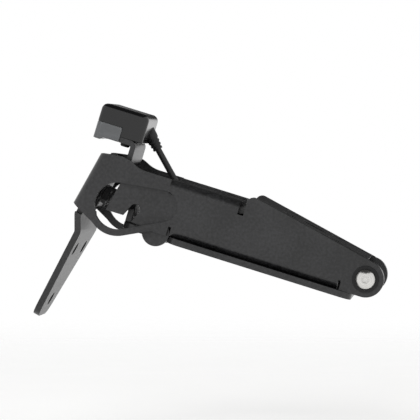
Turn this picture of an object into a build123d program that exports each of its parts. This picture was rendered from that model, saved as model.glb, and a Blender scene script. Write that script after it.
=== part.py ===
"""Tail tidy: two folded arms under a motorbike's tail, with a number-plate hanger and a plate lamp.

+X points to the front of the bike, +Y to its left and +Z up. The origin is the centre of the bolt
pattern, on top of the mounting plate. Sizes are in millimetres and degrees.

Places along an arm are given from the front screw's axis: u forward along the arm, v square to it and
up, w out to the right-hand side. Places at the rear edge are given from the arm's lower rear corner:
n forward from the edge and e up along it.
"""

import os
from math import cos, radians, sin, tan

from build123d import *

os.makedirs("parts", exist_ok=True)

# Sheet metal
sheet = 3.0
bend_inside = 1.5
flange_width = 14.0
top_flange_width = 18.0
relief_width = 2.8
relief_depth = 6.4
side_clearance = 0.2

# The arms
arm_slope = 17.1
arm_width = 52.0
arm_above_screw = 17.5
lug_radius = 8.5
arm_length = 141.7
rear_corner_drop = 6.6
rear_lean = 12.4
rear_edge_length = 26.5
chin_run = 13.0
chin_drop = 6.8
hump_rise = 3.3
hump_front_inset = 29.2
hump_crown_inset = 15.7
top_flange_inset = 41.7
top_flange_length = 34.0
bottom_flange_inset = 48.0
bottom_flange_front = 12.0
wedge_corner = 3.0

# The indicator opening in each arm, and the bracket behind it
opening_inset = 20.8
opening_drop = 1.9
opening_radius = 11.0
opening_rim = 3.1
opening_tail_run = 19.9
opening_tail_rise = 6.1
opening_tail_radius = 7.5
bracket_rear_gap = 10.5
bracket_top_gap = 2.0
bracket_rear_drop = 5.4
bracket_front_drop = 7.4
bracket_tab_length = 10.0
lobe_inset = 41.3
lobe_drop = 8.6
lobe_radius = 6.5
slot_width = 5.0
slot_inset = 28.8
slot_drop = 1.2
slot_lean = 25.0

# The mounting plate
plate_pitch = 11.5
mount_back = 31.0
mount_pcd = 34.0
mount_count = 4
mount_hole_radius = 3.25
wiring_hole_radius = 6.0
plate_front = 2.0
plate_step_lead = 6.0
plate_step_run = 4.0
plate_tab_length = 18.0
plate_bend = 3.0
ear_length = 24.0
ear_depth = 9.0

# The undertray
tray_front = 4.0
tray_overhang = 1.5
tray_corner = 6.0
tray_tongue_inset = 24.7
tray_tongue_gap = 1.0

# The number-plate hanger
hanger_top = 24.0
hanger_step_start = 3.0
hanger_step_length = 9.0
tongue_length = 46.0
tongue_tip_width = 26.0
tongue_tip_corner = 7.0
hanger_bend = 4.0
plate_hole_radius = 3.25
plate_hole_spacing = 26.0
plate_hole_drop = 9.0
plate_hole_low_drop = 37.0

# The lamp and its bracket
bracket_sheet = 2.5
bracket_foot_start = 2.0
bracket_foot_end = 15.0
bracket_knee = 18.5
bracket_neck = 29.5
bracket_bend = 2.0
nut_gap = 0.7
lamp_length = 23.3
lamp_root = 10.8
lamp_nose = 2.3
lamp_height = 16.0
lamp_width = 38.0
lamp_inset = 22.4
lamp_rise = 26.5
lamp_wall = 2.0
lamp_corner = 3.0
lamp_edge = 2.4
lip_length = 3.5
lip_drop = 1.2
lens_height = 7.0
lens_wall = 3.0
board_thickness = 1.6
led_size = 3.0
led_height = 1.2
led_count = 3
led_spacing = 9.0

# The lead, its boot, its connector and the clip that holds it
lead_radius = 1.5
boot_root_radius = 3.2
boot_tip_radius = 2.3
boot_length = 7.4
boot_rise = 6.4
boot_out = -6.0
boot_groove_width = 0.9
boot_groove_depth = 0.4
boot_groove_count = 3
lead_fall = 44.0
lead_straight = 18.0
lead_dip_run = 13.0
lead_dip_rise = 5.5
lead_last_run = 10.0
lead_bend_share = 0.45
connector_length = 18.0
connector_width = 9.0
connector_height = 8.0
connector_latch = 1.4
terminal_radius = 1.1
terminal_spacing = 4.2
terminal_depth = 8.0
terminal_count = 2
clip_length = 10.0
clip_base = 2.5
clip_wall = 1.6
clip_reach = 5.0
clip_peg_radius = 2.4

# Fasteners
m4_radius = 2.0
m4_head_radius = 3.8
m4_head_edge = 0.3
m4_length = 10.0
m4_nut_across = 7.0
m4_nut_height = 3.2
m4_socket_radius = 1.44
m4_socket_depth = 1.4
m5_radius = 2.5
m5_head_radius = 4.75
m5_head_height = 2.75
m5_bulge_out = 0.86
m5_bulge_up = 0.62
m5_socket_radius = 1.73
m5_socket_depth = 1.6
m5_grip = 10.0
washer_radius = 6.25
washer_thickness = 1.0
spacer_radius = 5.0
lamp_screw_radius = 1.25
lamp_screw_head_radius = 2.25
lamp_screw_head_height = 1.5
lamp_screw_length = 6.0
hole_clearance = 0.25
thread_clearance = 0.05

# Where the fasteners sit
tray_screw_front = 30.0
tray_screw_inset = 14.0
flange_screw_inset = 8.8
top_screw_inset = 12.5
hanger_screw_rises = (5.0, 20.0)
tab_screw_inset = 8.0
lamp_foot_screw_rise = 9.0
lamp_foot_screw_inset = 6.0
lamp_screw_spacing = 24.0
lamp_screw_gap = 0.3

# Worked out from the sizes above
half_width = arm_width / 2
inner_half = half_width - sheet
bend_outside = bend_inside + sheet
hump_front = arm_length - hump_front_inset
hump_crown = arm_length - hump_crown_inset
top_flange_rear = arm_length - top_flange_inset
top_flange_front = top_flange_rear - top_flange_length
bottom_flange_rear = arm_length - bottom_flange_inset
opening_back = arm_length - opening_inset
tray_tongue_rear = arm_length - tray_tongue_inset
tray_tongue_half = inner_half - sheet - tray_tongue_gap
bracket_front = top_flange_rear - bracket_tab_length
lobe_back = arm_length - lobe_inset
slot_back = arm_length - slot_inset
plate_step_back = top_flange_front - plate_step_lead
plate_tab_rear = top_flange_front + plate_tab_length
arm_bottom = -lug_radius
flange_underside = arm_above_screw - sheet
pitch_rise = tan(radians(plate_pitch))
plate_over_screw = lug_radius / cos(radians(plate_pitch))
plate_drop = sheet / cos(radians(plate_pitch))
flat_half = half_width - bend_outside - side_clearance
flange_screw_out = half_width - flange_screw_inset
top_screw_out = half_width - top_screw_inset
bracket_foot_width = 2 * (flange_screw_out - m4_nut_across / 2 - nut_gap)
lamp_foot_screw_spacing = bracket_foot_width - 2 * lamp_foot_screw_inset
lens_length = lamp_length - lamp_root
lamp_screw_back = lamp_root - lamp_screw_head_radius - lamp_screw_gap
tray_screw_backs = (tray_screw_front, bottom_flange_rear - tray_screw_inset)
tab_screw_back = plate_tab_rear - tab_screw_inset
bracket_screw_back = top_flange_rear - bracket_tab_length / 2
hole_radius = m4_radius + hole_clearance
tray_underside = arm_bottom - sheet
wedge_back = top_flange_front - relief_width

# The side view of the arm, seen from the right-hand side
tilted = Plane(
    origin=(0, 0, 0),
    x_dir=(cos(radians(arm_slope)), 0, -sin(radians(arm_slope))),
    z_dir=(0, -1, 0),
)
mount_rise = plate_over_screw + mount_back * pitch_rise
side = tilted.shift_origin(tilted.from_local_coords(Vector(mount_back, -mount_rise, 0)))
along = side.x_dir
upward = side.y_dir
outward = side.z_dir
inward = -outward


def at(u, v, w=0.0):
    """The point u along the arm, v above the front screw's axis and w out to the right."""
    return side.from_local_coords(Vector(u, v, w))


# The rear edge, with n forward as its local x and e up the edge as its local y
edge_n = along * cos(radians(rear_lean)) - upward * sin(radians(rear_lean))
edge_e = along * sin(radians(rear_lean)) + upward * cos(radians(rear_lean))
rear = Plane(origin=at(-arm_length, -rear_corner_drop), x_dir=edge_n, z_dir=outward)


def from_edge(n, e):
    """The (u, v) place of a point n in front of the rear edge and e up along it."""
    local = side.to_local_coords(rear.from_local_coords(Vector(n, e, 0)))
    return (local.X, local.Y)


# The mounting plate's top face, with its local x forward and its local z out of the face
plate_along = along * cos(radians(plate_pitch)) - upward * sin(radians(plate_pitch))
plate_up = along * sin(radians(plate_pitch)) + upward * cos(radians(plate_pitch))
plate_top = Plane(origin=(0, 0, 0), x_dir=plate_along, z_dir=plate_up)


def plate_line(u):
    """The height v of the mounting plate's top face at u along the arm."""
    return plate_over_screw - u * pitch_rise


def fold(width):
    """A folded edge's section, from its sharp outer corner: x in along the flange, y along the web."""
    with BuildSketch() as section:
        with BuildLine():
            Line((0, bend_outside), (sheet, bend_outside))
            RadiusArc((sheet, bend_outside), (bend_outside, sheet), -bend_inside)
            Line((bend_outside, sheet), (width, sheet))
            Line((width, sheet), (width, 0))
            Line((width, 0), (bend_outside, 0))
            RadiusArc((bend_outside, 0), (0, bend_outside), bend_outside)
        make_face()
    return section.sketch


def arm_outline():
    """The right-hand arm's blank in side view, before its edges are folded and its holes cut."""
    crown = (-hump_crown, arm_above_screw + hump_rise)
    toe = (-hump_front, arm_above_screw)
    halfway = ((crown[0] + toe[0]) / 2, (crown[1] + toe[1]) / 2)
    with BuildSketch() as outline:
        with BuildLine():
            Polyline(
                toe,
                (-wedge_back, arm_above_screw),
                (-wedge_back, plate_line(-wedge_back)),
                (0, plate_line(0)),
                (0, arm_bottom),
                (-opening_back + opening_tail_run, arm_bottom),
                (-opening_back, -opening_drop),
                (-arm_length + chin_run, -rear_corner_drop - chin_drop),
                (-arm_length, -rear_corner_drop),
                from_edge(0, rear_edge_length),
                crown,
            )
            TangentArc(crown, halfway, tangent=(1, 0))
            TangentArc(toe, halfway, tangent=(-1, 0))
        make_face()
    return outline.sketch


def rear_flange():
    """The right-hand arm's rear flange and its bend, trimmed to the blank's outline."""
    overrun = from_edge(0, rear_edge_length + bend_outside)
    with BuildPart() as flange:
        with BuildSketch(Plane(at(*overrun, half_width), inward, -edge_e)):
            add(rounding)
        extrude(amount=rear_edge_length + 2 * bend_outside)
        with BuildSketch(side):
            add(arm_blank)
        extrude(amount=half_width, mode=Mode.INTERSECT)
    return flange.part


def opening(margin):
    """The egg-shaped indicator opening, grown all round by a margin."""
    with BuildSketch() as egg:
        with Locations((-opening_back, -opening_drop)):
            Circle(opening_radius + margin)
        with Locations((-opening_back + opening_tail_run, -opening_drop + opening_tail_rise)):
            Circle(opening_tail_radius + margin)
        make_hull()
    return egg.sketch


def flush_screw():
    """A countersunk M4 screw with its head's top at the origin and its shank along -Z."""
    head_depth = m4_head_radius - m4_radius + m4_head_edge
    with BuildPart() as screw:
        with BuildSketch(Plane.XZ):
            Polygon(
                (0, 0),
                (m4_head_radius, 0),
                (m4_head_radius, -m4_head_edge),
                (m4_radius, -head_depth),
                (m4_radius, -m4_length),
                (0, -m4_length),
                align=None,
            )
        revolve(axis=Axis.Z)
        with BuildSketch(Plane.XY):
            RegularPolygon(m4_socket_radius, 6)
        extrude(amount=-m4_socket_depth, mode=Mode.SUBTRACT)
    return screw.part


def hex_nut():
    """An M4 nut that stands on the origin along +Z."""
    with BuildPart() as nut:
        with BuildSketch(Plane.XY):
            RegularPolygon(m4_nut_across / 2, 6, major_radius=False)
            Circle(m4_radius + thread_clearance, mode=Mode.SUBTRACT)
        extrude(amount=m4_nut_height)
    return nut.part


def flush_seat():
    """What a flush screw takes out of the sheets that it holds: its countersink and its hole."""
    seat_radius = m4_head_radius + hole_clearance
    seat_depth = m4_head_radius - m4_radius + m4_head_edge
    with BuildPart() as seat:
        with BuildSketch(Plane.XZ):
            Polygon(
                (0, 0),
                (seat_radius, 0),
                (seat_radius, -m4_head_edge),
                (hole_radius, -seat_depth),
                (hole_radius, -m4_length),
                (0, -m4_length),
                align=None,
            )
        revolve(axis=Axis.Z)
    return seat.part


screw_m4 = flush_screw()
nut_m4 = hex_nut()
seat_m4 = flush_seat()
rounding = fold(flange_width)
top_rounding = fold(top_flange_width)
bracket_rounding = fold(top_flange_width - sheet)
ear_fold = fold(bend_outside + sheet)
egg_hole = opening(0)
egg_rim = opening(opening_rim)
arm_blank = arm_outline()
right_rear_flange = rear_flange()

# Each flush screw's place is a plane on the face that its head is flush with, pointing out of it
tray_screw_places = [
    Plane(origin=at(-back, tray_underside, out), x_dir=along, z_dir=-upward)
    for back in tray_screw_backs
    for out in (-flange_screw_out, flange_screw_out)
]
hanger_screw_places = [
    Plane(origin=at(*from_edge(0, rise), out), x_dir=edge_e, z_dir=-edge_n)
    for rise in hanger_screw_rises
    for out in (-flange_screw_out, flange_screw_out)
]
lamp_foot_places = [
    Plane(origin=at(*from_edge(sheet, lamp_foot_screw_rise), out), x_dir=edge_e, z_dir=-edge_n)
    for out in (-lamp_foot_screw_spacing / 2, lamp_foot_screw_spacing / 2)
]
top_screw_places = [
    Plane(origin=at(-back, arm_above_screw, out), x_dir=along, z_dir=upward)
    for back in (tab_screw_back, bracket_screw_back)
    for out in (-top_screw_out, top_screw_out)
]


def nut_places(screw_places, grip):
    """Where the nuts sit: beyond the sheets that the screws grip, turned the other way."""
    return [
        Plane(origin=place.origin - place.z_dir * grip, x_dir=place.x_dir, z_dir=-place.z_dir)
        for place in screw_places
    ]


def locations(planes):
    """The planes as locations."""
    return [place.location for place in planes]


# Right-hand arm: a flat web with inward flanges along its top, its bottom and its rear edge
with BuildPart() as right_arm:
    with BuildSketch(side.offset(inner_half)) as web:
        add(arm_blank)
        Circle(lug_radius)
        add(egg_rim)
        add(egg_hole, mode=Mode.SUBTRACT)
        Circle(m5_radius + hole_clearance, mode=Mode.SUBTRACT)
        # Room for the bends, with a relief slot at their ends
        with Locations((-top_flange_rear, arm_above_screw)):
            Rectangle(
                top_flange_rear - top_flange_front,
                bend_outside,
                align=(Align.MIN, Align.MAX),
                mode=Mode.SUBTRACT,
            )
        with Locations((-top_flange_front, arm_above_screw)):
            Rectangle(relief_width, relief_depth, align=(Align.MIN, Align.MAX), mode=Mode.SUBTRACT)
        with Locations((-bottom_flange_rear - relief_width / 2, arm_bottom)):
            Rectangle(
                bottom_flange_rear - bottom_flange_front + relief_width,
                bend_outside,
                align=(Align.MIN, Align.MIN),
                mode=Mode.SUBTRACT,
            )
        with Locations(Location((-arm_length, -rear_corner_drop), -rear_lean)):
            Rectangle(
                2 * bend_outside,
                4 * rear_edge_length,
                mode=Mode.SUBTRACT,
            )
        wedge_tip = (-wedge_back, plate_line(-wedge_back))
        fillet(web.vertices().sort_by_distance(wedge_tip)[0], wedge_corner)
    extrude(amount=sheet)
    with BuildSketch(Plane(at(-top_flange_front, arm_above_screw, half_width), inward, -along)):
        add(top_rounding)
    extrude(amount=top_flange_rear - top_flange_front)
    with BuildSketch(Plane(at(-bottom_flange_rear, arm_bottom, half_width), inward, along)):
        add(rounding)
    extrude(amount=bottom_flange_rear - bottom_flange_front)
    add(right_rear_flange)
    with Locations(*locations(tray_screw_places + hanger_screw_places + top_screw_places)):
        add(seat_m4, mode=Mode.SUBTRACT)
right_arm.part.label = "right_arm"

# Left-hand arm
with BuildPart() as left_arm:
    mirror(right_arm.part, about=Plane.XZ)
left_arm.part.label = "left_arm"

# Right-hand indicator bracket: a plate inside the arm with an open slot, hung from the arm's top flange
bracket_top = flange_underside - bracket_top_gap
bracket_rear_n = bend_outside + bracket_rear_gap
bracket_floor = arm_bottom + bend_outside + side_clearance
lean_run = tan(radians(rear_lean))
rear_foot = from_edge(bracket_rear_n, 0)


def bracket_rear(v):
    """The u of the bracket's rear edge at the height v."""
    return rear_foot[0] + (v - rear_foot[1]) * lean_run


with BuildPart() as indicator_bracket_right:
    with BuildSketch(side.offset(inner_half - sheet)):
        Polygon(
            (bracket_rear(bracket_top), bracket_top),
            (bracket_rear(-bracket_rear_drop), -bracket_rear_drop),
            (-slot_back - slot_width / 2, -bracket_rear_drop),
            (-slot_back - slot_width / 2, -bracket_front_drop),
            (-lobe_back, -bracket_front_drop),
            (-lobe_back, bracket_floor),
            (-bracket_front, bracket_floor),
            (-bracket_front, bracket_top),
            align=None,
        )
        with Locations((-lobe_back, -lobe_drop)):
            Circle(lobe_radius)
        with Locations((-bracket_front, flange_underside)):
            Rectangle(
                bracket_tab_length,
                bend_outside,
                align=(Align.MAX, Align.MAX),
                mode=Mode.SUBTRACT,
            )
        with Locations(Location((-slot_back, -slot_drop), -slot_lean)):
            Circle(slot_width / 2, mode=Mode.SUBTRACT)
            Rectangle(
                slot_width,
                2 * opening_radius,
                align=(Align.CENTER, Align.MAX),
                mode=Mode.SUBTRACT,
            )
    extrude(amount=sheet)
    with BuildSketch(Plane(at(-bracket_front, flange_underside, inner_half), inward, -along)):
        add(bracket_rounding)
    extrude(amount=bracket_tab_length)
    with Locations(*locations(top_screw_places)):
        add(seat_m4, mode=Mode.SUBTRACT)
indicator_bracket_right.part.label = "indicator_bracket_right"

# Left-hand indicator bracket
with BuildPart() as indicator_bracket_left:
    mirror(indicator_bracket_right.part, about=Plane.XZ)
indicator_bracket_left.part.label = "indicator_bracket_left"

# Mounting plate: one folded sheet that steps down under the top flanges and turns down at the front lugs
plate_half = inner_half - side_clearance
bend_drop = bend_outside / cos(radians(plate_pitch))
ear_back = (mount_back - ear_length) / cos(radians(plate_pitch))
plate_end = (mount_back - plate_front) / cos(radians(plate_pitch))


def plate_ear():
    """The mounting plate's right-hand ear, with the bend that joins it to the plate."""
    with BuildPart() as ear:
        with BuildSketch(side.offset(plate_half - sheet)):
            Polygon(
                (-ear_length, plate_line(-ear_length) - bend_drop),
                (0, plate_line(0) - bend_drop),
                (0, arm_bottom),
                (-ear_length, plate_line(-ear_length) - bend_drop - ear_depth),
                align=None,
            )
            Circle(lug_radius)
            Polygon(
                (-ear_length, plate_line(-ear_length) - bend_drop),
                (-plate_front, plate_line(-plate_front) - bend_drop),
                (-plate_front, plate_line(-ear_length)),
                (-ear_length, plate_line(-ear_length)),
                align=None,
                mode=Mode.SUBTRACT,
            )
            Circle(m5_radius + hole_clearance, mode=Mode.SUBTRACT)
        extrude(amount=sheet)
        front_corner = plate_top.from_local_coords(Vector(plate_end, -plate_half, 0))
        with BuildSketch(Plane(front_corner, inward, -plate_along)):
            add(ear_fold)
        extrude(amount=plate_end - ear_back)
    return ear.part


right_ear = plate_ear()
with BuildPart() as mounting_plate:
    with BuildSketch(side):
        with BuildLine():
            FilletPolyline(
                (-plate_front, plate_line(-plate_front) - plate_drop / 2),
                (-plate_step_back, plate_line(-plate_step_back) - plate_drop / 2),
                (-plate_step_back - plate_step_run, flange_underside - sheet / 2),
                (-plate_tab_rear, flange_underside - sheet / 2),
                radius=plate_bend,
            )
        trace(line_width=sheet)
    extrude(amount=plate_half, both=True)
    with BuildSketch(plate_top.offset(sheet)):
        for turn in (-1, 1):
            with Locations((ear_back - relief_width, turn * plate_half)):
                Rectangle(
                    plate_end + bend_outside,
                    2 * bend_outside,
                    align=(Align.MIN, Align.CENTER),
                )
    extrude(amount=-2 * bend_outside, mode=Mode.SUBTRACT)
    with BuildSketch(Plane(at(-plate_step_back, flange_underside), x_dir=along, z_dir=upward)):
        for turn in (-1, 1):
            with Locations((0, turn * flat_half)):
                Rectangle(
                    plate_tab_rear - plate_step_back,
                    2 * bend_outside,
                    align=(Align.MAX, Align.MIN if turn > 0 else Align.MAX),
                )
    extrude(amount=arm_above_screw, both=True, mode=Mode.SUBTRACT)
    add(right_ear)
    mirror(right_ear, about=Plane.XZ)
    with Locations(plate_top):
        Hole(wiring_hole_radius, depth=bend_outside)
        with PolarLocations(mount_pcd / 2, mount_count, start_angle=180 / mount_count):
            Hole(mount_hole_radius, depth=bend_outside)
    with Locations(*locations(top_screw_places)):
        add(seat_m4, mode=Mode.SUBTRACT)
mounting_plate.part.label = "mounting_plate"

# Undertray: a flat plate under the bottom flanges
clip_middle = (tray_screw_backs[0] + tray_screw_backs[1]) / 2
with BuildPart() as undertray:
    with BuildSketch(Plane(at(0, tray_underside), x_dir=along, z_dir=upward)):
        with Locations((-(tray_front + bottom_flange_rear) / 2, 0)):
            RectangleRounded(
                bottom_flange_rear - tray_front,
                arm_width + 2 * tray_overhang,
                tray_corner,
            )
        with Locations((-(clip_middle + tray_tongue_rear) / 2, 0)):
            RectangleRounded(
                tray_tongue_rear - clip_middle,
                2 * tray_tongue_half,
                tray_corner,
            )
        with Locations((-clip_middle, 0)):
            Circle(clip_peg_radius + hole_clearance, mode=Mode.SUBTRACT)
    extrude(amount=sheet)
    with Locations(*locations(tray_screw_places)):
        add(seat_m4, mode=Mode.SUBTRACT)
undertray.part.label = "undertray"

# Number-plate hanger: a panel inside the arms' rear flanges that steps forward into a tapered tongue
down = Vector(0, 0, -1)
panel_n = sheet + sheet / 2
step_n = panel_n + hanger_step_length * down.dot(edge_n)
step_e = -hanger_step_start + hanger_step_length * down.dot(edge_e)
tip_e = step_e - tongue_length
behind = Plane(origin=rear.origin, x_dir=outward, z_dir=-edge_n)
with BuildPart() as plate_hanger:
    with BuildSketch(rear):
        with BuildLine():
            FilletPolyline(
                (panel_n, hanger_top),
                (panel_n, -hanger_step_start),
                (step_n, step_e),
                (step_n, tip_e),
                radius=hanger_bend,
            )
        trace(line_width=sheet)
    extrude(amount=half_width, both=True)
    with BuildSketch(behind) as tongue_outline:
        with BuildLine():
            right_side = Polyline(
                (0, hanger_top),
                (flat_half, hanger_top),
                (flat_half, -hanger_step_start),
                (half_width, -hanger_step_start),
                (half_width, step_e),
                (tongue_tip_width / 2, tip_e),
                (0, tip_e),
            )
            mirror(right_side, about=Plane.YZ)
        make_face()
        fillet(tongue_outline.vertices().group_by(Axis.Y)[0], tongue_tip_corner)
    extrude(amount=step_n + sheet, both=True, mode=Mode.INTERSECT)
    with Locations(behind.offset(-step_n + sheet)):
        with Locations(
            (-plate_hole_spacing / 2, step_e - plate_hole_drop),
            (plate_hole_spacing / 2, step_e - plate_hole_drop),
            (0, step_e - plate_hole_low_drop),
        ):
            Hole(plate_hole_radius, depth=2 * sheet)
    with Locations(*locations(hanger_screw_places + lamp_foot_places)):
        add(seat_m4, mode=Mode.SUBTRACT)
plate_hanger.part.label = "plate_hanger"

# Lamp bracket: a strip that leaves the hanger's front face and ends in a shelf for the lamp
foot_n = 2 * sheet + bracket_sheet / 2
lamp_front = -arm_length + lamp_inset
strip_u = lamp_front - lamp_nose - bracket_sheet / 2
shelf_middle = lamp_rise + bracket_sheet / 2
shelf_length = lamp_root - lamp_nose - bracket_sheet / 2 - side_clearance
head_top = rear.to_local_coords(at(strip_u, lamp_rise + lamp_height)).Y
neck_taper = (lamp_width - bracket_foot_width) / 2
with BuildPart() as lamp_bracket:
    with BuildSketch(side):
        with BuildLine():
            FilletPolyline(
                from_edge(foot_n, bracket_foot_start),
                from_edge(foot_n, bracket_foot_end),
                (strip_u, bracket_knee),
                (strip_u, shelf_middle),
                (strip_u - shelf_length, shelf_middle),
                radius=bracket_bend,
            )
        trace(line_width=bracket_sheet)
    extrude(amount=lamp_width / 2, both=True)
    with BuildSketch(behind):
        with BuildLine():
            strip_side = Polyline(
                (0, 0),
                (bracket_foot_width / 2, 0),
                (bracket_foot_width / 2, bracket_neck - neck_taper),
                (lamp_width / 2, bracket_neck),
                (lamp_width / 2, head_top),
                (0, head_top),
            )
            mirror(strip_side, about=Plane.YZ)
        make_face()
    extrude(amount=2 * lamp_length, both=True, mode=Mode.INTERSECT)
    with Locations(*locations(lamp_foot_places)):
        add(seat_m4, mode=Mode.SUBTRACT)
    shelf_face = Plane(
        origin=at(lamp_front - lamp_screw_back, lamp_rise),
        x_dir=along,
        z_dir=-upward,
    )
    with Locations(shelf_face):
        with GridLocations(0, lamp_screw_spacing, 1, 2):
            Hole(lamp_screw_radius + hole_clearance, depth=2 * bracket_sheet)
lamp_bracket.part.label = "lamp_bracket"

# The lamp's side view, with its local x forward from the front face and its local y up
lamp = Plane(origin=at(lamp_front, lamp_rise), x_dir=along, z_dir=outward)
lamp_along = Axis(lamp.origin, along)
lamp_up = Axis(lamp.origin, upward)
board_room = lamp_height - lens_height - lamp_wall


def lamp_form():
    """The lamp's outer form: a block rounded over its top and ends, with a lip under its rear edge."""
    with BuildPart() as form:
        with BuildSketch(lamp):
            Polygon(
                (0, 0),
                (0, lamp_height),
                (-lamp_length, lamp_height),
                (-lamp_length, -lip_drop),
                (-lamp_length + lip_length, -lip_drop),
                (-lamp_length + lip_length + lip_drop, 0),
                align=None,
            )
        extrude(amount=lamp_width / 2, both=True)
        fillet(form.edges().filter_by(Axis.Y).group_by(lamp_up)[-1], lamp_corner)
        fillet(form.faces().sort_by(lamp_up)[-1].edges().filter_by(lamp_along), lamp_edge)
    return form.part


lamp_block = lamp_form()

# Lamp housing: a cap over the board and the lens, with its front half solid for the screws
with BuildPart() as lamp_housing:
    add(lamp_block)
    with BuildSketch(lamp):
        with Locations((-lamp_length, lens_height)):
            Rectangle(lens_length, 2 * lamp_height, align=(Align.MIN, Align.MAX))
        with Locations((0, bracket_sheet)):
            Rectangle(lamp_length, lamp_height, align=(Align.MAX, Align.MAX))
    extrude(amount=lamp_width, both=True, mode=Mode.SUBTRACT)
    with BuildSketch(lamp):
        with Locations((-lamp_length + lamp_wall, lens_height)):
            Rectangle(lens_length - lamp_wall, board_room, align=(Align.MIN, Align.MIN))
    extrude(amount=lamp_width / 2 - lamp_wall, both=True, mode=Mode.SUBTRACT)
    with Locations(shelf_face):
        with GridLocations(0, lamp_screw_spacing, 1, 2):
            Hole(lamp_screw_radius + thread_clearance, depth=lamp_screw_length + hole_clearance)
lamp_housing.part.label = "lamp_housing"

# Lamp lens: a tray-shaped moulding that closes the lamp's rear half from below
with BuildPart() as lamp_lens:
    add(lamp_block)
    with BuildSketch(lamp):
        with Locations((-lamp_length, lens_height)):
            Rectangle(lens_length, 2 * lamp_height, align=(Align.MIN, Align.MAX))
    extrude(amount=lamp_width, both=True, mode=Mode.INTERSECT)
    with BuildSketch(lamp):
        with Locations((-lamp_length + lens_wall, lens_wall)):
            Rectangle(lens_length - 2 * lens_wall, lens_height, align=(Align.MIN, Align.MIN))
    extrude(amount=lamp_width / 2 - lens_wall, both=True, mode=Mode.SUBTRACT)
lamp_lens.part.label = "lamp_lens"

# Lamp board: it lies on the lens's rim
with BuildPart() as lamp_board:
    with BuildSketch(lamp):
        with Locations((-lamp_length + lamp_wall + side_clearance, lens_height)):
            Rectangle(
                lens_length - lamp_wall - 2 * side_clearance,
                board_thickness,
                align=(Align.MIN, Align.MIN),
            )
    extrude(amount=lamp_width / 2 - lamp_wall - side_clearance, both=True)
lamp_board.part.label = "lamp_board"

# Lamp LEDs: a row under the board
with BuildPart() as lamp_leds:
    with BuildSketch(Plane(lamp.from_local_coords(Vector(0, lens_height, 0)), along, -upward)):
        with Locations((-lamp_length + lens_length / 2, 0)):
            with GridLocations(0, led_spacing, 1, led_count):
                Rectangle(led_size, led_size)
    extrude(amount=led_height)
lamp_leds.part.label = "lamp_leds"

# Lead boot: a tapered moulding that leans down from the lamp's front face
fall = along * cos(radians(lead_fall)) - upward * sin(radians(lead_fall))
boot_root = at(lamp_front, lamp_rise + boot_rise, boot_out)
boot_plane = Plane(origin=boot_root, x_dir=outward, z_dir=fall)


def boot_groove(rise):
    """The ring that a flex groove takes out of the boot, that far from its root."""
    surface = boot_root_radius - (boot_root_radius - boot_tip_radius) * rise / boot_length
    with BuildPart() as groove:
        with BuildSketch(boot_plane.offset(rise)):
            Circle(boot_root_radius)
            Circle(surface - boot_groove_depth, mode=Mode.SUBTRACT)
        extrude(amount=boot_groove_width)
    return groove.part


groove_pitch = boot_length / (boot_groove_count + 1)
boot_grooves = [boot_groove(groove_pitch * (turn + 1)) for turn in range(boot_groove_count)]
with BuildPart() as lamp_boot:
    with Locations(boot_plane):
        Cone(
            boot_root_radius,
            boot_tip_radius,
            boot_length,
            align=(Align.CENTER, Align.CENTER, Align.MIN),
        )
        Cylinder(
            boot_root_radius,
            boot_root_radius,
            align=(Align.CENTER, Align.CENTER, Align.MAX),
        )
    split(bisect_by=Plane(origin=boot_root, x_dir=outward, z_dir=along), keep=Keep.TOP)
    for groove in boot_grooves:
        add(groove, mode=Mode.SUBTRACT)
lamp_boot.part.label = "lamp_boot"

# Lead: from the boot down between the arms and along to its connector on the undertray
connector_v = arm_bottom + clip_base + connector_height / 2
connector_u = -clip_middle - connector_length / 2
boot_tip = boot_root + fall * boot_length
lead_low_u = connector_u - lead_last_run
lead_path = [
    boot_tip,
    boot_tip + fall * lead_straight,
    at(lead_low_u - lead_dip_run, connector_v + lead_dip_rise, boot_out / 2),
    at(lead_low_u, connector_v),
    at(connector_u, connector_v),
]
lead_runs = [after - before for before, after in zip(lead_path, lead_path[1:])]
lead_bends = [
    lead_bend_share * min(before.length, after.length) / tan(radians(before.get_angle(after) / 2))
    for before, after in zip(lead_runs, lead_runs[1:])
]
print("lead bend radii", [round(radius, 1) for radius in lead_bends])
with BuildPart() as lamp_lead:
    with BuildLine() as lead_route:
        FilletPolyline(*lead_path, radius=lead_bends)
    with BuildSketch(Plane(origin=lead_route.line @ 0, z_dir=lead_route.line % 0)):
        Circle(lead_radius)
    sweep()
lamp_lead.part.label = "lamp_lead"

# Lead connector: a two-way plug body with a latch on top
with BuildPart() as lead_connector:
    with BuildSketch(Plane(at(connector_u, connector_v), x_dir=outward, z_dir=along)):
        RectangleRounded(connector_width, connector_height, connector_latch)
    extrude(amount=connector_length)
    with BuildSketch(Plane(at(-clip_middle, connector_v + connector_height / 2), along, upward)):
        RectangleRounded(connector_length / 2, connector_width / 2, connector_latch)
    extrude(amount=connector_latch)
    with Locations(Plane(at(connector_u + connector_length, connector_v), outward, along)):
        with GridLocations(terminal_spacing, 0, terminal_count, 1):
            Hole(terminal_radius, depth=terminal_depth)
lead_connector.part.label = "lead_connector"

# Connector clip: a saddle on the undertray with a push-in peg
clip_width = connector_width + 2 * (clip_wall + side_clearance)
with BuildPart() as connector_clip:
    with BuildSketch(Plane(at(-clip_middle, arm_bottom), x_dir=along, z_dir=upward)):
        Rectangle(clip_length, clip_width)
    extrude(amount=clip_base)
    with BuildSketch(Plane(at(-clip_middle, arm_bottom + clip_base), x_dir=along, z_dir=upward)):
        with GridLocations(0, clip_width - clip_wall, 1, 2):
            Rectangle(clip_length, clip_wall)
    extrude(amount=clip_reach)
    with BuildSketch(Plane(at(-clip_middle, arm_bottom), x_dir=along, z_dir=-upward)):
        Circle(clip_peg_radius)
    extrude(amount=sheet)
connector_clip.part.label = "connector_clip"

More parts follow.
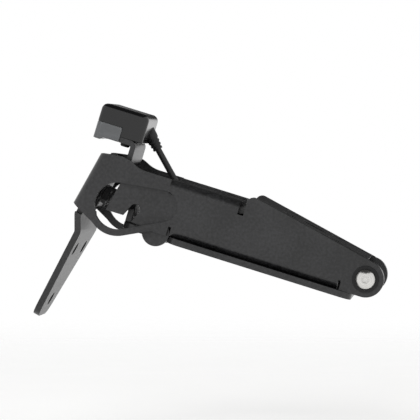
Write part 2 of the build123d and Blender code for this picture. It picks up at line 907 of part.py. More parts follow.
# Front spacer: a tapped tube between the mounting plate's ears
with BuildPart() as front_spacer:
    with BuildSketch(side):
        Circle(spacer_radius)
        Circle(m5_radius + thread_clearance, mode=Mode.SUBTRACT)
    extrude(amount=plate_half - sheet, both=True)
front_spacer.part.label = "front_spacer"

# Front washers and button-head screws, one each side
front_places = [
    Plane(origin=at(0, 0, half_width), x_dir=along, z_dir=outward),
    Plane(origin=at(0, 0, -half_width), x_dir=along, z_dir=inward),
]
with BuildPart() as front_washers:
    for place in front_places:
        with BuildSketch(place):
            Circle(washer_radius)
            Circle(m5_radius + hole_clearance, mode=Mode.SUBTRACT)
        extrude(amount=washer_thickness)
front_washers.part.label = "front_washers"


def button_screw():
    """A button-head M5 screw that sits on the origin with its shank along -Z."""
    reach = washer_thickness + 2 * sheet + side_clearance + m5_grip
    with BuildPart() as screw:
        with BuildSketch(Plane.XZ):
            with BuildLine():
                Polyline(
                    (m5_head_radius / 2, m5_head_height),
                    (0, m5_head_height),
                    (0, -reach),
                    (m5_radius, -reach),
                    (m5_radius, 0),
                    (m5_head_radius, 0),
                )
                ThreePointArc(
                    (m5_head_radius, 0),
                    (m5_bulge_out * m5_head_radius, m5_bulge_up * m5_head_height),
                    (m5_head_radius / 2, m5_head_height),
                )
            make_face()
        revolve(axis=Axis.Z)
        with BuildSketch(Plane.XY.offset(m5_head_height)):
            RegularPolygon(m5_socket_radius, 6)
        extrude(amount=-m5_socket_depth, mode=Mode.SUBTRACT)
    return screw.part


screw_m5 = button_screw()
with BuildPart() as front_screws:
    with Locations(*[place.offset(washer_thickness).location for place in front_places]):
        add(screw_m5)
front_screws.part.label = "front_screws"


def shelf_screw():
    """A pan-head M2.5 screw that sits on the origin with its shank along -Z."""
    with BuildPart() as screw:
        Cylinder(lamp_screw_radius, lamp_screw_length, align=(Align.CENTER, Align.CENTER, Align.MAX))
        Cylinder(
            lamp_screw_head_radius,
            lamp_screw_head_height,
            align=(Align.CENTER, Align.CENTER, Align.MIN),
        )
        chamfer(screw.edges().group_by(Axis.Z)[-1], lamp_screw_head_height / 3)
        with BuildSketch(Plane.XY.offset(lamp_screw_head_height)):
            RegularPolygon(lamp_screw_radius * 2 / 3, 6)
        extrude(amount=-lamp_screw_head_height / 2, mode=Mode.SUBTRACT)
    return screw.part


screw_lamp = shelf_screw()
with BuildPart() as lamp_screws:
    with Locations(shelf_face):
        with GridLocations(0, lamp_screw_spacing, 1, 2):
            add(screw_lamp)
lamp_screws.part.label = "lamp_screws"

# Flush screws and the nuts behind them, one node for each row
two_sheets = 2 * sheet
with BuildPart() as undertray_screws:
    with Locations(*locations(tray_screw_places)):
        add(screw_m4)
undertray_screws.part.label = "undertray_screws"

with BuildPart() as undertray_nuts:
    with Locations(*locations(nut_places(tray_screw_places, two_sheets))):
        add(nut_m4)
undertray_nuts.part.label = "undertray_nuts"

with BuildPart() as hanger_screws:
    with Locations(*locations(hanger_screw_places)):
        add(screw_m4)
hanger_screws.part.label = "hanger_screws"

with BuildPart() as hanger_nuts:
    with Locations(*locations(nut_places(hanger_screw_places, two_sheets))):
        add(nut_m4)
hanger_nuts.part.label = "hanger_nuts"

with BuildPart() as lamp_bracket_screws:
    with Locations(*locations(lamp_foot_places)):
        add(screw_m4)
lamp_bracket_screws.part.label = "lamp_bracket_screws"

with BuildPart() as lamp_bracket_nuts:
    with Locations(*locations(nut_places(lamp_foot_places, sheet + bracket_sheet))):
        add(nut_m4)
lamp_bracket_nuts.part.label = "lamp_bracket_nuts"

with BuildPart() as top_screws:
    with Locations(*locations(top_screw_places)):
        add(screw_m4)
top_screws.part.label = "top_screws"

with BuildPart() as top_nuts:
    with Locations(*locations(nut_places(top_screw_places, two_sheets))):
        add(nut_m4)
top_nuts.part.label = "top_nuts"

for piece in (
    left_arm,
    right_arm,
    mounting_plate,
    undertray,
    plate_hanger,
    indicator_bracket_left,
    indicator_bracket_right,
    lamp_bracket,
    lamp_housing,
    lamp_lens,
    lamp_board,
    lamp_leds,
    lamp_boot,
    lamp_lead,
    lead_connector,
    connector_clip,
    front_spacer,
    front_washers,
    front_screws,
    lamp_screws,
    undertray_screws,
    undertray_nuts,
    hanger_screws,
    hanger_nuts,
    lamp_bracket_screws,
    lamp_bracket_nuts,
    top_screws,
    top_nuts,
):
    export_step(piece.part, f"parts/{piece.part.label}.step")
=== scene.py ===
"""Tail tidy: the finish of a folded sheet-steel number-plate carrier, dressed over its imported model.

Laid out as an add-on: each operator dresses one group of pieces, and the panel lists them in order.
The scene is in metres. A length is in millimetres where its name or description says so.
"""

from math import atan, cos, pi, radians, sin

import bmesh
import bpy
from mathutils import Matrix, Vector


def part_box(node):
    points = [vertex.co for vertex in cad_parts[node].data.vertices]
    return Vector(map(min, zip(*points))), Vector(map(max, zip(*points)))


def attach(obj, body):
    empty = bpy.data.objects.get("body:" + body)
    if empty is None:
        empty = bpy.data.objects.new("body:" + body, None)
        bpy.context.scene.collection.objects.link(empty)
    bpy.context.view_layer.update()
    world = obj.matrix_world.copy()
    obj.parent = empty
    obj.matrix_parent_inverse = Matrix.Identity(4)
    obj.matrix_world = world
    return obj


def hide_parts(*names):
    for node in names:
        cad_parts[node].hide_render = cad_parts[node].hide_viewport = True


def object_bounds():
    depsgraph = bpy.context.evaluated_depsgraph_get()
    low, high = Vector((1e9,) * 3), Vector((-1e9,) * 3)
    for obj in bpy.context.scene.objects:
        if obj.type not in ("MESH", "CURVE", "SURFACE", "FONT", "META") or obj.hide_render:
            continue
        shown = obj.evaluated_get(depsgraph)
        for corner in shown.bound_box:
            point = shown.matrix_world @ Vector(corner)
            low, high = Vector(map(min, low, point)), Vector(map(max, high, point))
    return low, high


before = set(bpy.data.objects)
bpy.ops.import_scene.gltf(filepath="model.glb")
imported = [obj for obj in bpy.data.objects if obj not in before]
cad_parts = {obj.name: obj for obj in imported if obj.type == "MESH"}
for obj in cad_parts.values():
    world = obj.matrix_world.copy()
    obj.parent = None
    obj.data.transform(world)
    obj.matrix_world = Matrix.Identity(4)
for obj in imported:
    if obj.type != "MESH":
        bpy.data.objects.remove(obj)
cad_low, cad_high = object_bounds()

bl_info = {
    "name": "Tail tidy finish",
    "version": (1, 0, 0),
    "blender": (4, 5, 0),
    "location": "View3D > Sidebar > Tail tidy",
    "description": "Dresses a folded sheet-steel tail tidy with its coatings, mouldings and fasteners",
    "category": "Object",
}

MM = 0.001
BODY = "root"

# The nodes of each group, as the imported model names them
FOLDED_SHEETS = (
    "left_arm",
    "right_arm",
    "indicator_bracket_left",
    "indicator_bracket_right",
    "mounting_plate",
    "undertray",
    "plate_hanger",
    "lamp_bracket",
)
NYLON_MOULDINGS = ("lead_connector", "connector_clip")
BLACK_FASTENERS = (
    "front_washers",
    "lamp_screws",
    "undertray_screws",
    "undertray_nuts",
    "hanger_screws",
    "hanger_nuts",
    "lamp_bracket_screws",
    "lamp_bracket_nuts",
    "top_screws",
    "top_nuts",
)

# How a copied mesh is joined up, rounded over and shaded
MERGE_DISTANCE = 0.002 * MM
FLAT_ANGLE = radians(0.3)
ROUNDED_ANGLE = radians(35)
SHADED_SHARP_ANGLE = radians(40)
EDGE_SEGMENTS = 3
CORNER_SEGMENTS = 8

# A wave texture of scale 1 has this many waves in each unit of length
WAVES_AT_SCALE_ONE = 20 / (2 * pi)

# The floor, in metres, and the share of white that it gives off where it is seen
FLOOR_REACH = 3.0
FLOOR_SIDES = 96
FADE_START, FADE_END = 0.15, 0.9
FLOOR_GLOW = 0.36

# The room's shares of white: as the background, as soft light, and as the walls and ceiling in a reflection
SEEN_WHITE, SOFT_WHITE, WALL_WHITE, CEILING_WHITE = 1.0, 0.45, 1.0, 0.06
# How much a direction's lean to either end, to the far side and upwards counts towards the ceiling,
# and the sums at which the walls end and the ceiling is whole
CEILING_WEIGHTS = (-0.8, 0.35, 1.0)
WALLS_END, CEILING_WHOLE = 0.27, 0.36

WHITE = "#ffffff"
CLIP_START, CLIP_END = 0.05, 50.0


class TidySizes(bpy.types.PropertyGroup):
    """Lengths and angles that a user would change."""

    sheet_edge: bpy.props.FloatProperty(
        name="Sheet edge",
        description="How far the coating rounds over a cut edge of the sheet, in millimetres",
        default=0.35,
        min=0.05,
        max=1.0,
    )
    moulded_edge: bpy.props.FloatProperty(
        name="Moulded edge",
        description="Radius of a moulding's edges, in millimetres",
        default=0.4,
        min=0.05,
        max=1.0,
    )
    turned_edge: bpy.props.FloatProperty(
        name="Turned edge",
        description="Broken edge of screws, nuts and washers, in millimetres",
        default=0.15,
        min=0.02,
        max=0.5,
    )
    orange_peel: bpy.props.FloatProperty(
        name="Orange peel",
        description="Width of the ripples in the powder coat, in millimetres",
        default=1.3,
        min=0.2,
        max=5.0,
    )
    end_wall_height: bpy.props.FloatProperty(
        name="End wall height",
        description="How far the undertray's rear end stands up behind the slots, in millimetres",
        default=9.0,
        min=2.0,
        max=11.0,
    )
    end_wall_corner: bpy.props.FloatProperty(
        name="End wall corner",
        description="Radius of the end wall's upper corners, in millimetres",
        default=3.0,
        min=0.5,
        max=5.0,
    )
    view_distance: bpy.props.FloatProperty(
        name="View distance",
        description="From the camera to the middle of the part",
        default=1.25,
        unit="LENGTH",
    )
    view_width: bpy.props.FloatProperty(
        name="View width",
        description="What the picture takes in across, at the part",
        default=0.2,
        unit="LENGTH",
    )
    view_azimuth: bpy.props.FloatProperty(
        name="Azimuth",
        description="How far the camera stands round towards the front",
        default=radians(5.9),
        subtype="ANGLE",
    )
    view_elevation: bpy.props.FloatProperty(
        name="Elevation",
        description="How far the camera stands above the part",
        default=radians(1.5),
        subtype="ANGLE",
    )
    floor_drop: bpy.props.FloatProperty(
        name="Floor drop",
        description="From the part's lowest point down to the floor",
        default=0.06,
        unit="LENGTH",
    )


class TidyColours(bpy.types.PropertyGroup):
    """Colours that a user would change, as sRGB hex values."""

    powder: bpy.props.StringProperty(
        name="Powder coat", description="Colour of the coated sheets", default="#1f1f20"
    )
    case: bpy.props.StringProperty(
        name="Lamp case", description="Colour of the lamp's moulded cap", default="#0b0b0c"
    )
    lens: bpy.props.StringProperty(
        name="Lens", description="Tint of the lamp's smoked moulding", default="#5f6163"
    )
    board: bpy.props.StringProperty(
        name="Board", description="Colour of the board's solder mask", default="#1c5a33"
    )
    phosphor: bpy.props.StringProperty(
        name="LED", description="Colour of an unlit LED's phosphor", default="#e8d36a"
    )
    sheath: bpy.props.StringProperty(
        name="Sheath", description="Colour of the lead and its boot", default="#141415"
    )
    nylon: bpy.props.StringProperty(
        name="Nylon", description="Colour of the connector and its clip", default="#1a1a1b"
    )
    stainless: bpy.props.StringProperty(
        name="Stainless", description="Colour of the front screws", default="#d6d5d2"
    )
    oxide: bpy.props.StringProperty(
        name="Black oxide", description="Colour of the dark screws, nuts and washers", default="#111112"
    )
    aluminium: bpy.props.StringProperty(
        name="Aluminium", description="Colour of the turned spacer", default="#c3c5c8"
    )
    floor: bpy.props.StringProperty(
        name="Floor", description="Colour of the floor", default="#f4f4f3"
    )


def sizes():
    """The lengths and angles that the scene holds."""
    return bpy.context.scene.tidy_sizes


def colours():
    """The colours that the scene holds."""
    return bpy.context.scene.tidy_colours


def linear(hex_colour, share=1.0):
    """A share of an sRGB hex value's light, as linear red, green, blue and alpha."""
    channels = [int(hex_colour[i : i + 2], 16) / 255 for i in (1, 3, 5)]
    light = [c / 12.92 if c <= 0.04045 else ((c + 0.055) / 1.055) ** 2.4 for c in channels]
    return [share * channel for channel in light] + [1.0]


def feature_scale(width_mm):
    """The scale of a noise or cell texture whose features are that many millimetres wide."""
    return 1 / (width_mm * MM)


def wave_scale(pitch_mm):
    """The scale of a wave texture whose bands or rings repeat at that many millimetres."""
    return feature_scale(pitch_mm) / WAVES_AT_SCALE_ONE


def put(tree, kind, inputs=None, **settings):
    """Adds a node with its settings, and gives its inputs values or the sockets that feed them."""
    node = tree.nodes.new(kind)
    for name, value in settings.items():
        setattr(node, name, value)
    for name, value in (inputs or {}).items():
        if isinstance(value, bpy.types.NodeSocket):
            tree.links.new(value, node.inputs[name])
        else:
            node.inputs[name].default_value = value
    return node


def blank(name):
    """A new material with only its shader and its Object coordinates."""
    material = bpy.data.materials.new(name)
    material.use_nodes = True
    tree = material.node_tree
    tree.nodes.clear()
    shader = put(tree, "ShaderNodeBsdfPrincipled")
    put(tree, "ShaderNodeOutputMaterial", {"Surface": shader.outputs["BSDF"]})
    place = put(tree, "ShaderNodeTexCoord").outputs["Object"]
    return material, tree, shader, place


def two_tone(tree, shader, factor, hex_colour, dark, light, low=0.35, high=0.65):
    """Lets a pattern run the base colour from a dark to a light share of one colour."""
    ramp = put(tree, "ShaderNodeValToRGB", {"Fac": factor})
    for stop, position, share in zip(ramp.color_ramp.elements, (low, high), (dark, light)):
        stop.position = position
        stop.color = linear(hex_colour, share)
    tree.links.new(ramp.outputs["Color"], shader.inputs["Base Color"])


def vary_roughness(tree, shader, factor, low, high):
    """Lets a pattern run the roughness between two values."""
    span = put(tree, "ShaderNodeMapRange", {"Value": factor, "To Min": low, "To Max": high})
    tree.links.new(span.outputs["Result"], shader.inputs["Roughness"])


def raise_surface(tree, shader, factor, height_mm, strength=1.0):
    """Bumps the surface by a pattern that stands that many millimetres high."""
    bump = put(tree, "ShaderNodeBump", {"Height": factor, "Distance": height_mm * MM, "Strength": strength})
    tree.links.new(bump.outputs["Normal"], shader.inputs["Normal"])


def powder_coat():
    """Polyester powder, sprayed and baked: a satin black skin that pulls into a fine orange peel."""
    material, tree, shader, place = blank("satin_black_powder_coat")
    peel = put(
        tree,
        "ShaderNodeTexNoise",
        {"Vector": place, "Scale": feature_scale(sizes().orange_peel), "Detail": 2.0},
    ).outputs["Fac"]
    cloud = put(
        tree, "ShaderNodeTexNoise", {"Vector": place, "Scale": feature_scale(28), "Detail": 3.0}
    ).outputs["Fac"]
    # On a flat face the ripples are too low to show by themselves, so their light and shade are painted into
    # the colour too: the peel runs the coat darker and lighter as painted shade and painted highlight, drawn
    # stronger than the real coat's, while the slow cloud adds tone that differs at random
    both = put(tree, "ShaderNodeMath", {0: peel, 1: cloud}, operation="ADD").outputs["Value"]
    painted_ripple_shade_and_tone = put(tree, "ShaderNodeMath", {0: both, 1: 0.5}, operation="MULTIPLY").outputs["Value"]
    two_tone(tree, shader, painted_ripple_shade_and_tone, colours().powder, dark=0.55, light=1.55, low=0.4, high=0.6)
    vary_roughness(tree, shader, peel, low=0.3, high=0.36)
    raise_surface(tree, shader, peel, height_mm=0.012)
    return material


def moulded_case():
    """ABS from a polished tool: a deep gloss black, with a slow sink here and there."""
    material, tree, shader, place = blank("gloss_black_abs")
    sink = put(
        tree, "ShaderNodeTexNoise", {"Vector": place, "Scale": feature_scale(9), "Detail": 1.0}
    ).outputs["Fac"]
    shader.inputs["IOR"].default_value = 1.52
    two_tone(tree, shader, sink, colours().case, dark=0.9, light=1.1)
    vary_roughness(tree, shader, sink, low=0.14, high=0.2)
    raise_surface(tree, shader, sink, height_mm=0.02)
    return material


def smoked_lens():
    """Polycarbonate, moulded with a dense smoke tint: a clean grey face that lets a little light through."""
    material, tree, shader, place = blank("smoked_polycarbonate")
    haze = put(
        tree, "ShaderNodeTexNoise", {"Vector": place, "Scale": feature_scale(6), "Detail": 1.0}
    ).outputs["Fac"]
    shader.inputs["IOR"].default_value = 1.585
    shader.inputs["Transmission Weight"].default_value = 0.35
    two_tone(tree, shader, haze, colours().lens, dark=0.95, light=1.0)
    vary_roughness(tree, shader, haze, low=0.2, high=0.26)
    raise_surface(tree, shader, haze, height_mm=0.008)
    return material


def solder_mask():
    """Glass-epoxy board under a green mask: glossy over copper, with a faint weave."""
    material, tree, shader, place = blank("green_solder_mask")
    # The real weave of about half a millimetre is too fine to show, so it is drawn coarser
    weave = put(
        tree, "ShaderNodeTexWave", {"Vector": place, "Scale": wave_scale(3.77), "Distortion": 3.0}
    ).outputs["Fac"]
    two_tone(tree, shader, weave, colours().board, dark=0.85, light=1.1)
    vary_roughness(tree, shader, weave, low=0.28, high=0.4)
    return material


def phosphor():
    """A white LED that is off: yellow phosphor under clear resin."""
    material, tree, shader, place = blank("led_phosphor")
    # The phosphor's powder is too fine to show, so its grain is drawn coarser
    grain = put(
        tree, "ShaderNodeTexNoise", {"Vector": place, "Scale": feature_scale(0.5), "Detail": 2.0}
    ).outputs["Fac"]
    two_tone(tree, shader, grain, colours().phosphor, dark=0.9, light=1.0)
    shader.inputs["Coat Weight"].default_value = 1.0
    vary_roughness(tree, shader, grain, low=0.4, high=0.55)
    return material


def soft_sheath(name, roughness):
    """Extruded or moulded PVC: a dull black skin with a fine drag in it."""
    material, tree, shader, place = blank(name)
    # The real drag is too fine to show, so it is drawn coarser
    drag = put(
        tree, "ShaderNodeTexNoise", {"Vector": place, "Scale": feature_scale(0.9), "Detail": 3.0}
    ).outputs["Fac"]
    two_tone(tree, shader, drag, colours().sheath, dark=0.85, light=1.15)
    vary_roughness(tree, shader, drag, low=roughness, high=roughness + 0.12)
    raise_surface(tree, shader, drag, height_mm=0.01)
    return material


def spark_nylon():
    """Nylon from a spark-eroded tool: black with an even, fine pitting."""
    material, tree, shader, place = blank("black_nylon")
    # The real pits, of about a tenth of a millimetre, are too fine to show, so they are drawn coarser
    pits = put(
        tree, "ShaderNodeTexVoronoi", {"Vector": place, "Scale": feature_scale(0.6)}
    ).outputs["Distance"]
    two_tone(tree, shader, pits, colours().nylon, dark=0.85, light=1.15, low=0.1, high=0.6)
    vary_roughness(tree, shader, pits, low=0.48, high=0.62)
    raise_surface(tree, shader, pits, height_mm=0.02, strength=0.6)
    return material


def tumbled_stainless():
    """Stainless, cold headed and tumbled: bright, with fine rings left round the screw's axis."""
    material, tree, shader, place = blank("tumbled_stainless")
    low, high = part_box("front_screws")
    middle = (low + high) / 2
    centred = put(
        tree, "ShaderNodeMapping", {"Vector": place, "Location": (-middle.x, 0.0, -middle.z)}
    ).outputs["Vector"]
    # The real rings are too fine to show, so they are drawn about a millimetre apart
    rings = put(
        tree,
        "ShaderNodeTexWave",
        {"Vector": centred, "Scale": wave_scale(0.9425), "Distortion": 1.5, "Detail": 2.0},
        wave_type="RINGS",
        rings_direction="Y",
    ).outputs["Fac"]
    shader.inputs["Metallic"].default_value = 1.0
    two_tone(tree, shader, rings, colours().stainless, dark=0.9, light=1.0)
    vary_roughness(tree, shader, rings, low=0.2, high=0.3)
    raise_surface(tree, shader, rings, height_mm=0.004)
    return material


def black_oxide():
    """Steel blackened in a salt bath: a dull black skin with a little of the metal's gloss under it."""
    material, tree, shader, place = blank("black_oxide_steel")
    bloom = put(
        tree, "ShaderNodeTexNoise", {"Vector": place, "Scale": feature_scale(1.6), "Detail": 4.0}
    ).outputs["Fac"]
    shader.inputs["Metallic"].default_value = 0.3
    two_tone(tree, shader, bloom, colours().oxide, dark=0.8, light=1.2)
    vary_roughness(tree, shader, bloom, low=0.5, high=0.64)
    raise_surface(tree, shader, bloom, height_mm=0.006)
    return material


def turned_aluminium():
    """Aluminium bar, turned to length: bright, with the tool's fine rings along it."""
    material, tree, shader, place = blank("turned_aluminium")
    # The tool's feed of a tenth or two of a millimetre is too fine to show, so it is drawn coarser
    rings = put(
        tree,
        "ShaderNodeTexWave",
        {"Vector": place, "Scale": wave_scale(0.7854), "Distortion": 0.6, "Detail": 2.0},
        bands_direction="Y",
    ).outputs["Fac"]
    shader.inputs["Metallic"].default_value = 1.0
    two_tone(tree, shader, rings, colours().aluminium, dark=0.9, light=1.0)
    vary_roughness(tree, shader, rings, low=0.28, high=0.4)
    raise_surface(tree, shader, rings, height_mm=0.006)
    return material


def dress(node, material):
    """Gives a CAD node one material all over."""
    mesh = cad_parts[node].data
    mesh.materials.clear()
    mesh.materials.append(material)


def whole_faces(node):
    """A copy of a CAD node's mesh, with its loose triangles joined into whole faces."""
    shape = bmesh.new()
    shape.from_mesh(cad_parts[node].data)
    bmesh.ops.remove_doubles(shape, verts=shape.verts, dist=MERGE_DISTANCE)
    bmesh.ops.dissolve_limit(
        shape,
        angle_limit=FLAT_ANGLE,
        use_dissolve_boundaries=False,
        verts=shape.verts,
        edges=shape.edges,
    )
    return shape


def finished(shape, name, material, edge_mm):
    """Rounds over the sharp edges of a shape and stands it in the scene with the material that it is given.
    """
    sharp = [
        edge
        for edge in shape.edges
        if len(edge.link_faces) == 2 and edge.calc_face_angle() > ROUNDED_ANGLE
    ]
    bmesh.ops.bevel(
        shape,
        geom=sharp,
        offset=edge_mm * MM,
        offset_type="OFFSET",
        affect="EDGES",
        segments=EDGE_SEGMENTS,
        profile=0.5,
        clamp_overlap=True,
        material=-1,
    )
    mesh = bpy.data.meshes.new(name)
    shape.to_mesh(mesh)
    shape.free()
    mesh.shade_smooth()
    mesh.set_sharp_from_angle(angle=SHADED_SHARP_ANGLE)
    mesh.materials.append(material)
    piece = bpy.data.objects.new(mesh.name, mesh)
    bpy.context.scene.collection.objects.link(piece)
    flatten = piece.modifiers.new("flat_faces_stay_flat", "WEIGHTED_NORMAL")
    flatten.keep_sharp = True
    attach(piece, BODY)
    return piece


def softened(node, material, edge_mm):
    """Stands a copy of a CAD node in its place, with its sharp edges rounded over."""
    piece = finished(whole_faces(node), f"{node}_finished", material, edge_mm)
    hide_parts(node)


def end_wall(node, material, edge_mm):
    """Stands a wall of a plate's own thickness along the flat edge at its rear end."""
    plate = whole_faces(node)
    end = min(plate.faces, key=lambda face: face.calc_center_median().x)
    across = Vector((0.0, 1.0, 0.0))
    upward = across.cross(end.normal)
    half = max(corner.co.y for corner in end.verts)
    heights = [corner.co.dot(upward) for corner in end.verts]
    thickness = max(heights) - min(heights)
    foot = end.calc_center_median() + upward * thickness / 2
    turn = Matrix((across, upward, -end.normal)).transposed().to_4x4()
    plate.free()

    height = sizes().end_wall_height * MM
    wall = bmesh.new()
    outline = ((-half, 0.0), (half, 0.0), (half, height), (-half, height))
    corners = [wall.verts.new((x, y, 0.0)) for x, y in outline]
    upper_corners = corners[2:]
    wall.faces.new(corners)
    bmesh.ops.bevel(
        wall,
        geom=upper_corners,
        offset=sizes().end_wall_corner * MM,
        offset_type="OFFSET",
        affect="VERTICES",
        segments=CORNER_SEGMENTS,
        profile=0.5,
        material=-1,
    )
    raised = bmesh.ops.extrude_face_region(wall, geom=wall.faces[:])["geom"]
    lifted = [item for item in raised if isinstance(item, bmesh.types.BMVert)]
    bmesh.ops.translate(wall, verts=lifted, vec=(0.0, 0.0, thickness))
    bmesh.ops.recalc_face_normals(wall, faces=wall.faces)
    bmesh.ops.transform(wall, matrix=Matrix.Translation(foot) @ turn, verts=wall.verts)
    finished(wall, f"{node}_end_wall", material, edge_mm)


class TIDY_OT_sheets(bpy.types.Operator):
    """Powder coats the folded sheets, rounds over their cut edges and adds the undertray's end wall"""

    bl_idname = "tidy.sheets"
    bl_label = "Folded sheets"

    def execute(self, context):
        coat = powder_coat()
        for node in FOLDED_SHEETS:
            softened(node, coat, sizes().sheet_edge)
        end_wall("undertray", coat, sizes().sheet_edge)
        return {"FINISHED"}


class TIDY_OT_lamp(bpy.types.Operator):
    """Finishes the lamp's cap, lens, board and LEDs"""

    bl_idname = "tidy.lamp"
    bl_label = "Plate lamp"

    def execute(self, context):
        softened("lamp_housing", moulded_case(), sizes().moulded_edge)
        softened("lamp_lens", smoked_lens(), sizes().moulded_edge)
        dress("lamp_board", solder_mask())
        dress("lamp_leds", phosphor())
        return {"FINISHED"}


class TIDY_OT_lead(bpy.types.Operator):
    """Finishes the lead, its boot, its connector and the clip"""

    bl_idname = "tidy.lead"
    bl_label = "Lead"

    def execute(self, context):
        dress("lamp_lead", soft_sheath("pvc_sheath", roughness=0.42))
        softened("lamp_boot", soft_sheath("pvc_boot", roughness=0.5), sizes().moulded_edge)
        nylon = spark_nylon()
        for node in NYLON_MOULDINGS:
            softened(node, nylon, sizes().moulded_edge)
        return {"FINISHED"}


class TIDY_OT_fasteners(bpy.types.Operator):
    """Finishes the bright front screws, the dark fasteners and the spacer"""

    bl_idname = "tidy.fasteners"
    bl_label = "Fasteners"

    def execute(self, context):
        softened("front_screws", tumbled_stainless(), sizes().turned_edge)
        oxide = black_oxide()
        for node in BLACK_FASTENERS:
            softened(node, oxide, sizes().turned_edge)
        softened("front_spacer", turned_aluminium(), sizes().turned_edge)
        return {"FINISHED"}


def area_light(name, place, aim, width, watts):
    """A square soft box that looks at a point and doesn't show in a reflection."""
    lamp = bpy.data.lights.new(name, "AREA")
    lamp.energy = watts
    lamp.size = width
    holder = bpy.data.objects.new(name, lamp)
    holder.location = place
    holder.rotation_euler = (aim - place).to_track_quat("-Z", "Y").to_euler()
    holder.visible_glossy = False
    bpy.context.scene.collection.objects.link(holder)


def seen_rays(tree):
    """Tells the camera's own rays, and those that a glossy or clear surface passes on."""
    paths = put(tree, "ShaderNodeLightPath").outputs
    passed_on = put(
        tree,
        "ShaderNodeMath",
        {0: paths["Is Glossy Ray"], 1: paths["Is Transmission Ray"]},
        operation="ADD",
    ).outputs["Value"]
    return paths["Is Camera Ray"], passed_on


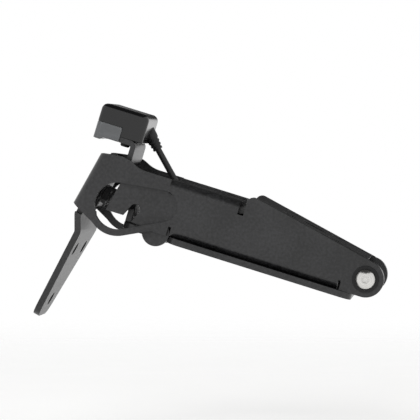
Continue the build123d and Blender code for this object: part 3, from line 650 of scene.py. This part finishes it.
class TIDY_OT_stage(bpy.types.Operator):
    """Sets the floor, the light and the camera"""

    bl_idname = "tidy.stage"
    bl_label = "Stage"

    def execute(self, context):
        middle = (cad_low + cad_high) / 2
        self.floor(Vector((middle.x, middle.y, cad_low.z - sizes().floor_drop)))
        self.light(middle)
        self.world()
        self.camera(context, middle)
        context.scene.view_settings.view_transform = "Standard"
        return {"FINISHED"}

    def floor(self, spot):
        """A round pale floor below the part."""
        shape = bmesh.new()
        bmesh.ops.create_circle(shape, cap_ends=True, segments=FLOOR_SIDES, radius=FLOOR_REACH)
        bmesh.ops.translate(shape, verts=shape.verts, vec=spot)
        mesh = bpy.data.meshes.new("floor")
        shape.to_mesh(mesh)
        shape.free()
        mesh.materials.append(self.pale_floor(spot))
        floor = bpy.data.objects.new("floor", mesh)
        bpy.context.scene.collection.objects.link(floor)

    def pale_floor(self, spot):
        """A matt white board that thins out into the white room, and keeps the part's shadow."""
        material, tree, shader, place = blank("matt_pale_floor")
        speck = put(
            tree, "ShaderNodeTexNoise", {"Vector": place, "Scale": feature_scale(40), "Detail": 3.0}
        ).outputs["Fac"]
        two_tone(tree, shader, speck, colours().floor, dark=0.985, light=1.0)
        vary_roughness(tree, shader, speck, low=0.85, high=0.95)
        camera_ray, passed_on = seen_rays(tree)
        seen = put(tree, "ShaderNodeMath", {0: camera_ray, 1: passed_on}, operation="ADD").outputs["Value"]
        glow = put(tree, "ShaderNodeMath", {0: seen, 1: FLOOR_GLOW}, operation="MULTIPLY").outputs["Value"]
        shader.inputs["Emission Color"].default_value = linear(WHITE)
        tree.links.new(glow, shader.inputs["Emission Strength"])
        away = put(
            tree, "ShaderNodeVectorMath", {0: place, 1: spot}, operation="DISTANCE"
        ).outputs["Value"]
        thin = put(
            tree,
            "ShaderNodeMapRange",
            {"Value": away, "From Min": FADE_START, "From Max": FADE_END},
            interpolation_type="SMOOTHSTEP",
        ).outputs["Result"]
        clear = put(tree, "ShaderNodeBsdfTransparent").outputs["BSDF"]
        whole = put(
            tree, "ShaderNodeMixShader", {0: thin, 1: shader.outputs["BSDF"], 2: clear}
        ).outputs["Shader"]
        output = next(node for node in tree.nodes if node.type == "OUTPUT_MATERIAL")
        tree.links.new(whole, output.inputs["Surface"])
        return material

    def light(self, middle):
        """A big soft box beside the camera, and a weak one from the front."""
        area_light("key", middle + Vector((-0.4, -1.6, 0.8)), aim=middle, width=1.2, watts=20.0)
        area_light("front_fill", middle + Vector((1.3, -0.4, 0.3)), aim=middle, width=0.9, watts=4.0)

    def world(self):
        """A white room, whose dark ceiling hangs lowest on the far side and is open at both ends."""
        world = bpy.data.worlds.new("white_room")
        bpy.context.scene.world = world
        world.use_nodes = True
        tree = world.node_tree
        tree.nodes.clear()
        direction = put(tree, "ShaderNodeTexCoord").outputs["Generated"]
        axes = put(tree, "ShaderNodeSeparateXYZ", {"Vector": direction}).outputs
        ends = put(tree, "ShaderNodeMath", {0: axes["X"]}, operation="ABSOLUTE").outputs["Value"]
        bearing = put(tree, "ShaderNodeCombineXYZ", {"X": ends, "Y": axes["Y"], "Z": axes["Z"]})
        rise = put(
            tree,
            "ShaderNodeVectorMath",
            {0: bearing.outputs["Vector"], 1: CEILING_WEIGHTS},
            operation="DOT_PRODUCT",
        ).outputs["Value"]
        mirrored = put(
            tree,
            "ShaderNodeMapRange",
            {
                "Value": rise,
                "From Min": WALLS_END,
                "From Max": CEILING_WHOLE,
                "To Min": WALL_WHITE,
                "To Max": CEILING_WHITE,
            },
            interpolation_type="SMOOTHSTEP",
        ).outputs["Result"]
        camera_ray, passed_on = seen_rays(tree)
        lit = put(tree, "ShaderNodeMix", {"Factor": passed_on, "A": SOFT_WHITE, "B": mirrored})
        strength = put(
            tree, "ShaderNodeMix", {"Factor": camera_ray, "A": lit.outputs["Result"], "B": SEEN_WHITE}
        )
        room = put(
            tree, "ShaderNodeBackground", {"Color": linear(WHITE), "Strength": strength.outputs["Result"]}
        )
        put(tree, "ShaderNodeOutputWorld", {"Surface": room.outputs["Background"]})

    def camera(self, context, middle):
        """Looks at the part's middle from the right-hand side, a little round to the front and above."""
        setup = sizes()
        azimuth, elevation = setup.view_azimuth, setup.view_elevation
        back = Vector((sin(azimuth) * cos(elevation), -cos(azimuth) * cos(elevation), sin(elevation)))
        data = bpy.data.cameras.new("camera")
        data.angle = 2 * atan(setup.view_width / 2 / setup.view_distance)
        data.clip_start = CLIP_START
        data.clip_end = CLIP_END
        camera = bpy.data.objects.new("camera", data)
        camera.location = middle + back * setup.view_distance
        camera.rotation_euler = (-back).to_track_quat("-Z", "Y").to_euler()
        context.scene.collection.objects.link(camera)
        context.scene.camera = camera


class TIDY_PT_panel(bpy.types.Panel):
    """Lists the steps in order, with the sizes and colours that they use"""

    bl_idname = "TIDY_PT_panel"
    bl_label = "Tail tidy"
    bl_space_type = "VIEW_3D"
    bl_region_type = "UI"
    bl_category = "Tail tidy"

    def draw(self, context):
        for step in STEPS:
            self.layout.operator(step.bl_idname)
        for group in (context.scene.tidy_sizes, context.scene.tidy_colours):
            for name in group.__annotations__:
                self.layout.prop(group, name)


STEPS = (TIDY_OT_sheets, TIDY_OT_lamp, TIDY_OT_lead, TIDY_OT_fasteners, TIDY_OT_stage)
CLASSES = (TidySizes, TidyColours, *STEPS, TIDY_PT_panel)


def register():
    for cls in CLASSES:
        bpy.utils.register_class(cls)
    bpy.types.Scene.tidy_sizes = bpy.props.PointerProperty(type=TidySizes)
    bpy.types.Scene.tidy_colours = bpy.props.PointerProperty(type=TidyColours)


def unregister():
    del bpy.types.Scene.tidy_colours
    del bpy.types.Scene.tidy_sizes
    for cls in reversed(CLASSES):
        bpy.utils.unregister_class(cls)


def main():
    register()
    bpy.ops.tidy.sheets()
    bpy.ops.tidy.lamp()
    bpy.ops.tidy.lead()
    bpy.ops.tidy.fasteners()
    bpy.ops.tidy.stage()


if __name__ == "__main__":
    main()
